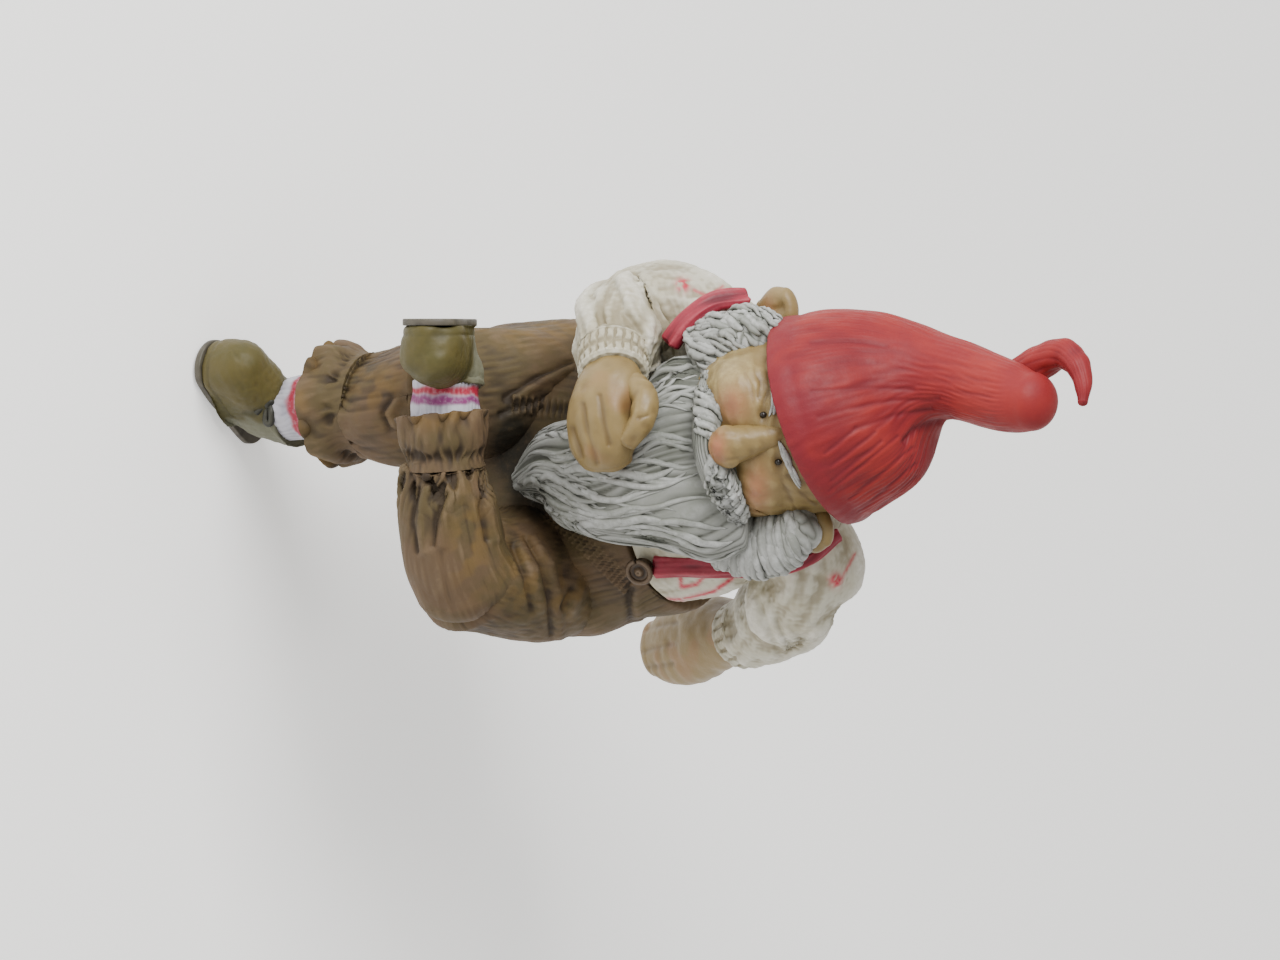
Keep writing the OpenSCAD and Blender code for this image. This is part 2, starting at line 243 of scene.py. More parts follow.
def build(name, shells, material, node):
    # One mesh out of closed grids: the rows between the poles are quads, and each pole is a fan round one
    # point.
    points, faces, paint = [], [], []
    start = 0
    for s in shells:
        rows, around = s["pos"].shape[:2]
        inner = s["pos"][1:-1].reshape(-1, 3)
        points += [inner, s["pos"][:1].mean(1), s["pos"][-1:].mean(1)]
        colour = np.stack([0.5 + 0.5 * np.tanh(s["relief"]), s["one"], s["two"], np.ones_like(s["one"])], -1)
        paint += [colour[1:-1].reshape(-1, 4), colour[:1].mean(1), colour[-1:].mean(1)]
        index = start + np.arange((rows - 2) * around).reshape(rows - 2, around)
        right = np.roll(index, -1, 1)
        faces.append(np.stack([index[:-1], right[:-1], right[1:], index[1:]], -1).reshape(-1, 4))
        first, last = start + (rows - 2) * around, start + (rows - 2) * around + 1
        start = last + 1
        faces.append(np.stack([np.full(around, first), right[0], index[0]], -1))
        faces.append(np.stack([np.full(around, last), index[-1], right[-1]], -1))
    points = np.vstack(points) * mm
    totals = np.concatenate([np.full(len(f), f.shape[1]) for f in faces])
    loops = np.concatenate([f.ravel() for f in faces])
    mesh = bpy.data.meshes.new(name)
    mesh.vertices.add(len(points))
    mesh.vertices.foreach_set("co", points.astype(np.float32).ravel())
    mesh.loops.add(len(loops))
    mesh.loops.foreach_set("vertex_index", loops.astype(np.int32))
    mesh.polygons.add(len(totals))
    mesh.polygons.foreach_set("loop_start", np.r_[0, np.cumsum(totals)[:-1]].astype(np.int32))
    mesh.polygons.foreach_set("loop_total", totals.astype(np.int32))
    mesh.polygons.foreach_set("use_smooth", np.ones(len(totals), bool))
    layer = mesh.attributes.new("paint", "FLOAT_COLOR", "POINT")
    layer.data.foreach_set("color", np.vstack(paint).astype(np.float32).ravel())
    mesh.update()
    mesh.validate()
    mesh.materials.append(material)
    piece = bpy.data.objects.new(name, mesh)
    bpy.context.scene.collection.objects.link(piece)
    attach(piece, "root")
    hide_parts(node)
    return piece


def tone(red, green, blue):
    # A screen colour from 0 to 255 as linear light.
    c = np.array([red, green, blue]) / 255
    linear = np.where(c <= 0.04045, c / 12.92, ((c + 0.055) / 1.055) ** 2.4)
    return (*linear.tolist(), 1.0)


def paintedResin(name, look):
    # Two mottled base paints, a dark wash where the relief is low, a dry-brushed paint where it is high,
    # and up to two painted details, under a satin coat with a fine bump.
    # In the skin and the breeches paints, one painted detail is painted shade: dark paint in hollows and
    # under the beard, where shade falls.
    material = bpy.data.materials.new(name)
    material.use_nodes = True
    nodes, links = material.node_tree.nodes, material.node_tree.links
    shader = nodes["Principled BSDF"]
    place = nodes.new("ShaderNodeTexCoord")
    brush = nodes.new("ShaderNodeAttribute")
    brush.attribute_name = "paint"
    split = nodes.new("ShaderNodeSeparateColor")
    links.new(brush.outputs["Color"], split.inputs[0])

    def noise(scale, detail, rough):
        n = nodes.new("ShaderNodeTexNoise")
        n.inputs["Scale"].default_value = scale
        n.inputs["Detail"].default_value = detail
        n.inputs["Roughness"].default_value = rough
        links.new(place.outputs["Object"], n.inputs["Vector"])
        return n.outputs[0]

    def ramp(value, low, high, to=(0, 1)):
        m = nodes.new("ShaderNodeMapRange")
        links.new(value, m.inputs["Value"])
        for key, number in zip(("From Min", "From Max", "To Min", "To Max"), (low, high, *to)):
            m.inputs[key].default_value = number
        return m.outputs[0]

    def maths(operation, a, b):
        m = nodes.new("ShaderNodeMath")
        m.operation = operation
        m.use_clamp = True
        for socket, value in zip(m.inputs, (a, b)):
            if isinstance(value, (int, float)):
                socket.default_value = value
            else:
                links.new(value, socket)
        return m.outputs[0]

    def mix(amount, under, over):
        m = nodes.new("ShaderNodeMix")
        m.data_type = "RGBA"
        links.new(amount, m.inputs[0])
        for socket, value in zip((m.inputs[6], m.inputs[7]), (under, over)):
            if isinstance(value, tuple):
                socket.default_value = value
            else:
                links.new(value, socket)
        return m.outputs[2]

    patches = noise(look["patch"], 5, 0.6)
    streaks = noise(look["streak"], 4, 0.7)
    colour = mix(ramp(patches, 0.42, 0.6), look["base"], look["second"])
    low = ramp(split.outputs[0], 0.48, 0.12)
    high = ramp(split.outputs[0], 0.62, 0.95)
    colour = mix(maths("MULTIPLY", low, look["washed"]), colour, look["wash"])
    dry = maths("MULTIPLY", high, ramp(streaks, 0.38, 0.62, (0.25, 1)))
    colour = mix(maths("MULTIPLY", dry, look["brushed"]), colour, look["bright"])
    # Noise that breaks the two painted details into patches, the painted shade among them.
    worn = ramp(noise(look["streak"] * 2.3, 3, 0.6), 0.3, 0.5, (0.75, 1))
    colour = mix(maths("MULTIPLY", split.outputs[1], worn), colour, look["one"])
    colour = mix(maths("MULTIPLY", split.outputs[2], worn), colour, look["two"])
    links.new(colour, shader.inputs["Base Color"])
    links.new(ramp(streaks, 0.3, 0.7, look["rough"]), shader.inputs["Roughness"])
    bump = nodes.new("ShaderNodeBump")
    bump.inputs["Strength"].default_value = look["bump"]
    bump.inputs["Distance"].default_value = 0.0002
    links.new(noise(look["grain"], 4, 0.6), bump.inputs["Height"])
    links.new(bump.outputs[0], shader.inputs["Normal"])
    shader.inputs["Specular IOR Level"].default_value = look["shine"]
    return material


def look(base, second, wash, bright, **changes):
    # The finish of a painted resin: four paints, and what differs from the usual numbers.
    usual = {"base": tone(*base), "second": tone(*second), "wash": tone(*wash), "bright": tone(*bright),
             "one": tone(178, 44, 62), "two": tone(150, 60, 120), "patch": 130, "streak": 700, "grain": 1500,
             "washed": 0.9, "brushed": 0.85, "rough": (0.42, 0.6), "bump": 0.25, "shine": 0.4}
    usual.update(changes)
    return usual


looks = {
    "capRed": look((126, 30, 34), (140, 38, 35), (94, 21, 32), (154, 50, 44), one=tone(106, 24, 38), patch=60,
                   streak=500, washed=0.75, rough=(0.5, 0.66), shine=0.28),
    # Skin: its two is painted shade, dark paint in the eye hollows and in the hollows of the hands.
    "skin": look((134, 114, 73), (124, 104, 63), (88, 68, 38), (166, 149, 103), one=tone(162, 88, 62),
                 two=tone(82, 62, 36), patch=90, washed=0.75, rough=(0.36, 0.52)),
    "eyeBlack": look((26, 21, 16), (36, 29, 22), (12, 10, 9), (54, 46, 36), rough=(0.2, 0.3)),
    "hairWhite": look((134, 135, 130), (123, 125, 117), (76, 78, 68), (182, 183, 181), one=tone(96, 96, 84),
                      patch=120, brushed=0.9, washed=0.9),
    "linen": look((186, 182, 164), (174, 167, 144), (124, 112, 84), (214, 210, 198), patch=120, washed=0.7),
    "braceRed": look((146, 38, 56), (132, 32, 48), (88, 20, 34), (172, 72, 82), patch=200),
    # Breeches: its one is painted shade, near-black paint under the beard between the thighs; its two is
    # ochre mottling.
    "breeches": look((92, 74, 55), (82, 70, 46), (46, 37, 29), (120, 101, 78), one=tone(36, 34, 28),
                     two=tone(118, 92, 48), patch=80, streak=420, washed=0.85, rough=(0.55, 0.75), shine=0.2),
    "buttonBrown": look((84, 66, 48), (72, 56, 40), (32, 24, 18), (120, 100, 78), patch=300),
    "sockWhite": look((186, 184, 192), (170, 168, 180), (116, 112, 122), (206, 206, 214),
                      one=tone(156, 30, 54),
                      two=tone(122, 46, 100), patch=200),
    "bootGreen": look((84, 75, 38), (74, 69, 35), (50, 47, 28), (104, 95, 60), one=tone(52, 51, 27),
                      two=tone(112, 113, 97), patch=90, washed=0.6, rough=(0.45, 0.6), shine=0.28),
    "soleBrown": look((86, 80, 70), (76, 72, 60), (52, 47, 40), (104, 98, 86), patch=200),
    "laceDark": look((36, 36, 30), (46, 46, 38), (18, 17, 14), (70, 68, 56), patch=300),
}
paints = {name: paintedResin(name, value) for name, value in looks.items()}
print("paints mixed")

# Cap: one tall form whose neck leans over a bulging crown, combed with grooves above a rolled brim.
cap = {
    "stations": [[-7.7, -4.6, 68.1, 17.1, 18.6], [-8.5, -3.8, 70.4, 16.9, 18.3], [-9.8, -2.5, 74, 16.2, 17.1],
                 [-11.2, -0.8, 78, 15, 14.4], [-12.8, 0.4, 81.4, 12.6, 11], [-14.1, 1.2, 84.8, 9, 8.4],
                 [-14.2, 1.6, 88.4, 6.8, 6.8], [-13.6, 1.8, 92.6, 6.1, 6.2], [-12.1, 1.4, 98, 5.8, 5.9],
                 [-11, 1, 103, 5.5, 5.6], [-10.8, 1, 106.8, 4.7, 4.8]],
    "grooves": 104, "grooveDepth": 0.17, "foldDepth": 0.32, "brimRoll": 0.22,
    "fold": [(-7.8, 72), (-7.4, 69), (-6.2, 66.4), (-4.6, 64.8)],
    "seams": [[(-11.2, 70), (-11, 63), (-9.8, 56), (-8.4, 51)], [(-9.6, 69), (-8.6, 63), (-6.6, 57)],
              [(-12.8, 66), (-13, 58), (-12.4, 50)], [(-19.6, 62), (-20.4, 56), (-20.2, 50)]],
    "comb": [((-3.6, 66), (4.6, 56)), ((-5.4, 63.6), (3.4, 52.6)), ((-4.6, 61), (1.8, 53)),
             ((-1, 66.4), (6.6, 57.6)),
             ((-6, 60), (-0.6, 53)), ((1, 66.6), (8, 58.6)), ((-6.6, 57), (-2.6, 52))],
}


def makeCap():
    g = sweep(cap["stations"], dome=(0, 3.8), size=(400, 170), calm=45)
    top = smooth(1.0, 0.9, g["v"])
    fine = wobble(g["flat"] * [1, 1, 0.12], 9, 21)
    wide = smooth(5, 15, np.linalg.norm(g["pos"] - g["pos"].mean(1, keepdims=True), axis=-1))
    folds = wobble(g["flat"] * [1, 1, 0.25], 22, 22) * smooth(0.04, 0.2, g["v"]) * top
    carve(g, cap["foldDepth"] * folds, 1.2)
    ridge = np.abs(np.sin(g["theta"] * cap["grooves"] / 2 + fine * 2.4)) ** 0.6 - 0.7
    patch = smooth(-0.9, 1.3, wobble(g["flat"] * [1, 1, 0.5], 20, 23))
    carve(g, cap["grooveDepth"] * ridge * wide * (0.2 + patch) * smooth(0.05, 0.12, g["v"]), 0.24)
    carve(g, -0.45 * stroke(g, cap["fold"], 0.6), 0.6)
    for seam in cap["seams"]:
        carve(g, -0.16 * stroke(g, seam, 0.4), 0.3)
    for line in cap["comb"]:
        x, h = np.array(line).T
        carve(g, 0.09 * stroke(g, list(zip(x + 0.5, h + 0.4)), 0.26), 0.16)
        carve(g, -0.12 * stroke(g, line, 0.24), 0.16)
    roll = np.exp(-((g["v"] * g["length"] - 1.1) / 1.2) ** 2)
    carve(g, cap["brimRoll"] * roll - 0.1 * np.exp(-((g["v"] * g["length"] - 3.4) / 0.7) ** 2), 2)
    carve(g, 0.03 * wobble(g["flat"] * [1, 1, 0.2], 1.2, 24) * top, 0.2)
    g["one"] = 0.55 * smooth(7.5, 2.5, g["v"] * g["length"] + 1.6 * wobble(g["pos"], 7, 25))
    build("cap", [g], paints["capRed"], "hat")


curl = {
    "stations": [[-12.4, 2.4, 99, 3, 3], [-16.2, 5, 103.8, 2.8, 2.8], [-18.4, 6, 108.6, 2.5, 2.5],
                 [-17, 5.4, 112.2, 2.1, 2.1], [-13.8, 4.4, 114.4, 1.5, 1.5], [-10.8, 3.4, 115.2, 0.9, 0.9]],
    "grooves": 14,
}


def makeCurl():
    g = sweep(curl["stations"], dome=(1, 0.6), size=(110, 150))
    wander = wobble(g["flat"] * [1, 1, 0.2], 6, 31) * 2
    ridge = np.abs(np.sin(g["theta"] * curl["grooves"] / 2 + wander)) ** 0.6 - 0.7
    carve(g, 0.12 * ridge * (1 - g["v"] * 0.6), 0.14)
    carve(g, 0.08 * wobble(g["pos"], 3, 32), 0.4)
    build("capCurl", [g], paints["capRed"], "hat_tip")


makeCap()
makeCurl()
print("cap made")

# Head: round cheeks with a blush, eye hollows and crow's feet.
face = {
    "stations": [[-5, -7, 51, 10, 9], [-6.2, -7, 56, 13.4, 14], [-7.1, -6, 62, 15, 16],
                 [-7.8, -5.4, 67.4, 15.2, 15.8], [-9.4, -4, 73.4, 13.4, 13], [-10.2, -2.6, 77, 9.6, 9.4]],
    "cheeks": [(-13.4, 37.8, 4.4, 3.9, 2.8), (3.8, 41, 4.8, 3.8, 2.0)],
    "blush": [(-10.4, 37.4, 2.8, 2.4), (3.2, 41.2, 3.6, 2.0)],
    "eyes": [(-8.9, 42.4), (-1.3, 44.7)],
    "crowsFeet": [[(-10.6, 42.4), (-13, 43.4), (-15.4, 43)], [(-11.4, 41.6), (-14, 41.9), (-16, 40.9)],
                  [(-10.6, 40.9), (-13.4, 40.4), (-15.4, 39.4)], [(0.8, 46.2), (3.6, 48.2), (5.6, 50.6)],
                  [(1.6, 45.2), (5, 46.8), (7.4, 48)]],
}


def makeFace():
    g = sweep(face["stations"], dome=(3, 3), size=(260, 160))
    for x, h, wide, high, rise in face["cheeks"]:
        carve(g, rise * spot(g, x, h, wide, high), 2.2)
        carve(g, -0.35 * spot(g, x, h + high * 1.25, wide, 0.9), 1.2)
    for x, h in face["eyes"]:
        carve(g, -0.55 * spot(g, x, h, 2.2, 1.3), 1.3)
        carve(g, 0.32 * stroke(g, [(x - 2, h + 0.9), (x, h + 1.5), (x + 1.8, h + 1)], 0.4), 0.8)
        carve(g, 0.2 * stroke(g, [(x - 1.8, h - 0.9), (x, h - 1.3), (x + 1.6, h - 0.9)], 0.4), 0.8)
        # Painted shade: dark paint round each eye, in its hollow.
        g["two"] = np.maximum(g["two"], 0.6 * spot(g, x, h, 1.5, 0.8))
    for line in face["crowsFeet"]:
        carve(g, -0.16 * stroke(g, line, 0.26), 0.22)
    for x, h, wide, high in face["blush"]:
        g["one"] = np.maximum(g["one"], 0.6 * spot(g, x, h, wide, high))
    carve(g, 0.05 * wobble(g["pos"], 2.2, 41), 0.25)
    build("face", [g], paints["skin"], "head")
    return g


nose = {
    "stations": [[-6, -17.6, 72.4, 1.6, 1.8], [-5, -20.4, 69.4, 2.2, 2.4], [-4, -22.9, 66, 3, 3],
                 [-3.4, -23.2, 63.4, 2.9, 2.6]],
    "nostrils": [(-6.2, 36.2), (-0.9, 37)], "tip": (-3.6, 35.3),
}


def makeNose():
    g = sweep(nose["stations"], dome=(1, 1.4), size=(170, 110))
    for x, h in nose["nostrils"]:
        carve(g, 0.75 * spot(g, x, h, 1.5, 1.4), 3)
    carve(g, 0.55 * spot(g, *nose["tip"], 1.9, 1.5), 2.5)
    for x, h in nose["nostrils"]:
        carve(g, -0.14 * stroke(g, [(x * 0.7 - 1.1, h + 1.4), (x * 0.75 - 0.8, h - 0.4)], 0.35), 0.4)
    g["one"] = 0.7 * spot(g, nose["tip"][0], nose["tip"][1] - 0.3, 2.6, 1.4)
    carve(g, 0.04 * wobble(g["pos"], 2, 51), 0.2)
    build("noseForm", [g], paints["skin"], "nose")


ears = {"rightEar": ((-25.4, -4.4, 60), "right_ear", -1), "leftEar": ((9.6, -6.4, 68.6), "left_ear", 1)}


def makeEar(name):
    (x, y, z), node, hand = ears[name]
    lean = math.sin(math.radians(14))
    g = sweep([[x + 2.6 * lean, y, z - 2.6, 2.4, 1.4], [x, y, z, 3.7, 2.1],
               [x - 2 * lean, y, z + 2.2, 3.2, 1.8]],
              dome=(1.4, 1.6), size=(120, 80))
    h = float(np.dot([x, y, z], upPlane))
    carve(g, -0.7 * spot(g, x + hand * 0.4, h, 1.3, 1.5), 1.6)
    carve(g, 0.2 * spot(g, x + hand * 0.9, h - 0.3, 0.6, 0.7), 0.6)
    g["one"] = 0.3 * spot(g, x, h - 1.4, 2.4, 1.2)
    build(name, [g], paints["skin"], node)


def makeEyes(headGrid):
    shells = []
    for x, h in face["eyes"]:
        p, n = snap(headGrid, x, h)
        dot = [[*(p + n * -0.5), 0.6, 0.5], [*(p + n * 0.05), 0.6, 0.5]]
        shells.append(sweep(dot, ref=(1, 0, 0), dome=(0.2, 0.5), size=(40, 6), edge=8))
    build("eyeDots", shells, paints["eyeBlack"], "eyes")


brows = {
    "lines": [[(-15.7, 43.7), (-13, 44.2), (-10.2, 44.1), (-7.7, 43.5)],
              [(-5, 44.9), (-2, 45.9), (0.8, 47.2), (3.6, 48.8)]],
    "hairs": 12, "width": 0.32,
}


def makeBrows(headGrid):
    random = np.random.default_rng(61)
    shells = []
    for line in brows["lines"]:
        for n in range(brows["hairs"]):
            a = n / brows["hairs"] * 0.62
            flat = curve([[x, h, 0, 0] for x, h in line], 80)[0]
            cut = flat[int(a * 79):int((a + 0.38) * 79) + 1]
            cut = cut[np.linspace(0, len(cut) - 1, 16).astype(int)]
            off = random.uniform(-0.4, 0.4)
            found = [snap(headGrid, x, h + off) for x, h in cut[:, :2]]
            centre = np.array([p + q * 0.2 for p, q in found])
            centre = np.stack([np.convolve(np.pad(c, 2, "edge"), np.ones(5) / 5,
                                           "valid") for c in centre.T], 1)
            width = brows["width"] * random.uniform(0.8, 1.3) * taper(16)
            normal = np.array([q for p, q in found])
            shells.append(strand(centre, normal, width, width * 0.6, tone=random.uniform(0.5, 1.1)))
    build("browHair", shells, paints["hairWhite"], "eyebrows")


faceGrid = makeFace()
makeNose()
makeEar("rightEar")
makeEar("leftEar")
makeEyes(faceGrid)
makeBrows(faceGrid)
print("face made")

# Hair: carved forms with strands laid over them.
moustache = {
    "stations": [[-14, -17.6, 57.2, 1.8, 1.6], [-9, -21.4, 59.6, 2.8, 2.6], [-3.6, -22.8, 60.6, 3, 2.4],
                 [1.6, -21.2, 62.2, 3, 2.8], [7, -16.4, 61.6, 1.9, 1.6]],
    "left": {"seed": 71, "count": 22, "v": (0.52, 0.04), "run": (0.36, -0.13), "sag": -0.03},
    "right": {"seed": 72, "count": 26, "v": (0.48, 0.96), "run": (0.36, 0.15), "sag": 0.03},
    "both": {"steps": 18, "theta": (0.16, 0.3), "ordered": "v", "wave": 0.015, "waveTheta": 0, "drift": 1,
             "lift": 0.3, "width": 0.72, "flat": 0.7},
}
whiskers = {
    "rightWhiskers": {
        "node": "right_whiskers",
        "stations": [[-20.6, -10.6, 66, 3.2, 3.2], [-20.8, -12.4, 62, 4.8, 3.8],
                     [-19.8, -13.4, 58, 5.6, 3.8], [-17, -14, 54, 6.5, 4]],
        "strands": {"seed": 81, "count": 84, "steps": 14, "theta": (0.46, 0.98), "v": (-0.05, 0.85),
                    "ordered": "v",
                    "run": (0.1, 0.24), "wave": 0.012, "waveTheta": 1, "sag": 0.04, "drift": 5, "lift": 0.4,
                    "width": 0.68, "flat": 0.7}},
    "leftWhiskers": {
        "node": "left_whiskers",
        "stations": [[9, -10, 70.4, 3.2, 2.6], [11.2, -10, 65.4, 5, 3.4], [11.8, -10, 60.6, 5.4, 3.6],
                     [10, -10.6, 55.6, 6.2, 4]],
        "strands": {"seed": 82, "count": 60, "steps": 26, "theta": (1.0, 0.78), "v": (-0.02, 0.98),
                    "ordered": "v",
                    "run": (-0.36, 0.03), "wave": 0.014, "waveTheta": 0.3, "sag": 0.05, "drift": 2,
                    "lift": 0.3,
                    "width": 0.78, "flat": 0.6}},
}
beard = {
    "stations": [[-2.8, -14.4, 57.6, 16, 6.4], [-1.6, -17, 52.6, 16.6, 7.2], [-0.2, -19, 46.8, 13, 6.6],
                 [0.8, -20, 40, 10.6, 5.6], [0.4, -20, 32.8, 8.4, 4.8], [-0.2, -19.6, 26.4, 6.2, 3.8],
                 [1.8, -19, 20.2, 2.4, 2]],
    "ridges": 50,
    "strands": {"seed": 91, "count": 96, "steps": 26, "theta": (0.46, 1.04), "v": (-0.02, 0.62),
                "ordered": "theta",
                "run": (0.02, 0.42), "wave": 0.012, "waveTheta": 1, "sag": 0.0, "drift": 3, "lift": 0.12,
                "width": 0.66, "flat": 0.55},
}


def combed(g, ridges, seed, depth=0.35):
    # Strands cut into a form: the root of an absolute sine of theta whose phase wanders along the hair.
    wander = wobble(g["flat"] * [1, 1, 0.22], 8, seed) * 2.6
    carve(g, depth * (np.abs(np.sin(g["theta"] * ridges / 2 + wander)) ** 0.7 - 0.6), 0.3)
    carve(g, 0.3 * wobble(g["flat"] * [1, 1, 0.4], 7, seed + 1), 1.2)
    g["relief"] -= 0.3
    return g


def makeMoustache():
    g = combed(sweep(moustache["stations"], ref=(0, 0, 1), size=(180, 150)), 18, 73)
    halves = [locks(g, {**moustache["both"], **moustache[side]}) for side in ("left", "right")]
    build("moustacheHair", [g, *halves[0], *halves[1]], paints["hairWhite"], "moustache")


def makeWhiskers(name):
    spec = whiskers[name]
    g = sweep(spec["stations"], dome=(1.5, 2), size=(160, 120))
    carve(g, 0.3 * (crease(g["pos"] * [0.5, 0.6, 1.2], 2.4, spec["strands"]["seed"] + 7) - 0.6), 0.2)
    build(name, [g, *locks(g, spec["strands"])], paints["hairWhite"], spec["node"])


def makeBeard():
    g = combed(sweep(beard["stations"], dome=(2, 1), size=(260, 160)), beard["ridges"], 92, 0.4)
    build("beardHair", [g, *locks(g, beard["strands"])], paints["hairWhite"], "beard")


makeMoustache()
makeWhiskers("rightWhiskers")
makeWhiskers("leftWhiskers")
makeBeard()
print("hair made")

# Shirt: rumpled linen with painted braid, sleeves and ribbed cuffs.
shirt = {
    "stations": [[0.6, 2.4, 34, 20.8, 15.4], [0, 2.8, 38.5, 20.9, 15.2], [-1.6, 3, 44, 20.5, 14.5],
                 [-3, 3, 50, 19.5, 13],
                 [-4.4, 3, 55, 15, 11], [-5.6, 1, 60, 9.5, 9]],
    "red": [[(17.3, 37.4), (19.3, 34.6), (20.7, 29.6), (20.7, 25)],
            [(16.5, 33.4), (18.2, 31.8), (18.7, 29.4), (16.8, 29.2)]],
}
sleeves = {
    "rightSleeve": {
        "node": "right_sleeve", "ref": (1, 0, 0), "seed": 101,
        "stations": [[-16, -1, 51, 7.2, 7.6], [-20.8, -4, 48, 8.2, 8], [-24.6, -7.6, 41.4, 8.4, 8.2],
                     [-23.8, -12, 37, 8.2, 8], [-21, -18.4, 38.8, 7.2, 7], [-18, -22.8, 41.4, 5.8, 5.8]],
        "folds": [[(-31, 22), (-27, 24.6), (-22, 27.4), (-18, 28)], [(-30, 18.6), (-25, 20.4), (-20.6, 23.8)],
                  [(-27.6, 15.4), (-23, 17), (-19.4, 20)], [(-17.4, 27), (-16.2, 24.6)]],
        "red": [[(-29.2, 36), (-27.6, 33.6), (-28.6, 31.4)]], "dot": (-29.4, 29.6)},
    "leftSleeve": {
        "node": "left_sleeve", "ref": (0, 1, 0.2), "seed": 102,
        "stations": [[10, 7, 55.4, 7.2, 7.6], [15.4, 10.4, 55, 7.8, 8], [20.2, 15.6, 48, 7.2, 7.4],
                     [23.8, 20.6, 40, 6.6, 6.8], [25.5, 24, 33.4, 5.8, 5.8]],
        "folds": [[(17.4, 53), (16, 48), (14.8, 43.6)], [(22, 55), (25.6, 50.4), (28.6, 46.6)],
                  [(24, 44.6), (28, 46.6)],
                  [(20, 41.4), (24.6, 43.2), (28.8, 45)]],
        "red": [[(13.4, 57), (16, 55.6), (17.4, 54.6)]], "dot": (17.6, 54)},
}
cuffs = {
    "rightCuff": {"node": "right_cuff", "ref": (0, 0, 1), "ribs": 24, "rows": 2, "step": 0.2,
                  "stations": [[-18.8, -22, 40.9, 5.7, 5.7], [-17, -23.6, 42, 5.7, 5.7],
                               [-14.9, -25.3, 43.4, 5.2, 5.2]]},
    "leftCuff": {"node": "left_cuff", "ref": (0, 1, 0.2), "ribs": 18, "rows": 1, "step": 0.12,
                 "stations": [[25.3, 23.6, 34.2, 5.8, 5.8], [25.8, 24.9, 31.8, 5.7, 5.7],
                              [26.4, 26.2, 29.2, 5.2, 5.2]]},
}


def cloth(g, seed, amount=1.0):
    # Broad folds, then brush-like creases, then a fine grain.
    ease = np.minimum(smooth(-0.02, 0.05, g["v"]), 1)
    carve(g, 0.35 * amount * wobble(g["flat"], 9, seed) * ease, 0.8)
    carve(g, 0.09 * amount * wobble(g["flat"] * [1.3, 1.3, 0.45], 3.2, seed + 1) * ease, 0.3)
    carve(g, 0.09 * amount * (crease(g["pos"] * [1, 0.7, 0.8], 6.5, seed + 3) - 0.75) * ease, 0.3)
    return carve(g, 0.03 * wobble(g["pos"], 1, seed + 2) * ease, 0.16)


def makeShirt():
    g = cloth(sweep(shirt["stations"], ref=(0.3, 1, 0), dome=(0, 2), size=(240, 140)), 111)
    for line in shirt["red"]:
        carve(g, 0.15 * stroke(g, line, 0.5), 0.6)
        g["one"] = np.maximum(g["one"], np.minimum(1.3 * stroke(g, line, 0.32), 1))
    build("shirtBody", [g], paints["linen"], "shirt")


def makeSleeve(name):
    spec = sleeves[name]
    g = cloth(sweep(spec["stations"], ref=spec["ref"], dome=(2, 0), size=(200, 160)), spec["seed"], 1.3)
    for line in spec["folds"]:
        x, h = np.array(line).T
        carve(g, -0.5 * stroke(g, line, 0.7), 0.6)
        carve(g, 0.45 * stroke(g, list(zip(x, h + 1.2)), 0.8), 1.0)
    for line in spec["red"]:
        g["one"] = np.maximum(g["one"], 0.8 * stroke(g, line, 0.26))
    x, h = spec["dot"]
    carve(g, 0.3 * spot(g, x, h, 1.1, 1.1), 1.5)
    worn = smooth(-1.5, 0.2, wobble(g["pos"], 1.2, 9))
    g["one"] = np.maximum(g["one"], np.minimum(1.6 * spot(g, x, h, 1.0, 1.0), 1) * worn)
    build(name, [g], paints["linen"], spec["node"])


def makeCuff(name):
    spec = cuffs[name]
    g = sweep(spec["stations"], ref=spec["ref"], dome=(0, 0), size=(240, 60))
    gaps = np.cos(g["theta"] * spec["ribs"] / 2) ** 10
    if spec["rows"] > 1:
        rowsOf = np.abs(np.cos(g["v"] * spec["rows"] * math.pi)) ** 8
    else:
        rowsOf = smooth(0.1, 0, g["v"])
    inside = smooth(0.02, 0.1, g["v"]) * smooth(1.0, 0.72, g["v"])
    carve(g, -0.45 * np.maximum(gaps, 0.8 * rowsOf) * inside, spec["step"])
    carve(g, 0.35 * np.exp(-((g["v"] - 0.9) / 0.07) ** 2), 1.2)
    carve(g, 0.05 * wobble(g["pos"], 1, 121), 0.2)
    build(name, [g], paints["linen"], spec["node"])


makeShirt()
for name in sleeves:
    makeSleeve(name)
for name in cuffs:
    makeCuff(name)
print("shirt made")

